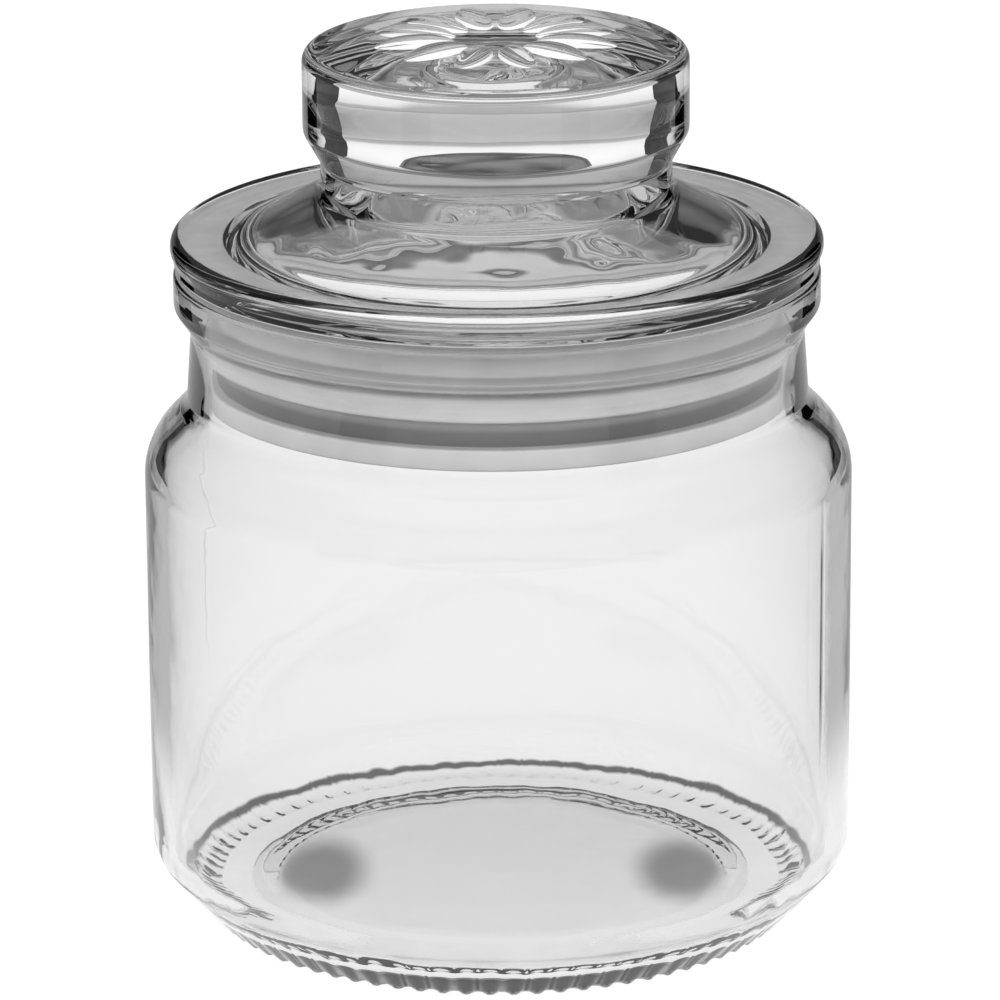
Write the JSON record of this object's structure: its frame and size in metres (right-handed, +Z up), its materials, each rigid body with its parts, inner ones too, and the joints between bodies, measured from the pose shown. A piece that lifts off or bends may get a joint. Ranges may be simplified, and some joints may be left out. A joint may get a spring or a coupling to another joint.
{
  "type": "apothecary jar",
  "caption": "Round clear glass jar with a ribbed foot, sloping shoulder and short wide neck, closed by a hollow glass stopper with a disc knob and a soft plastic seal.",
  "frame": {"origin": "on the jar's axis, in the plane that the jar stands on", "axes": "+Z up along the axis of the jar and its stopper; +X and +Y pass through gaps between the foot's bars"},
  "size_m": [0.1, 0.1, 0.1272],
  "materials": {
    "jar_glass": "clear polished glass",
    "lid_glass": "clear polished glass",
    "seal_plastic": "frosted translucent soft plastic"
  },
  "bodies": {
    "jar": {"jar_body": "jar_glass"},
    "seal": {"seal_ring": "seal_plastic"},
    "lid": {"glass_lid": "lid_glass"}
  },
  "joints": [
    {"name": "lid_lift", "type": "slide", "parent": "jar", "child": "seal", "axis": [0, 0, 1], "range_m": [0, 0.05]},
    {"name": "lid_turn", "type": "hinge", "parent": "seal", "child": "lid", "pos_m": [0, 0, 0.0943], "axis": [0, 0, 1], "continuous": true}
  ]
}
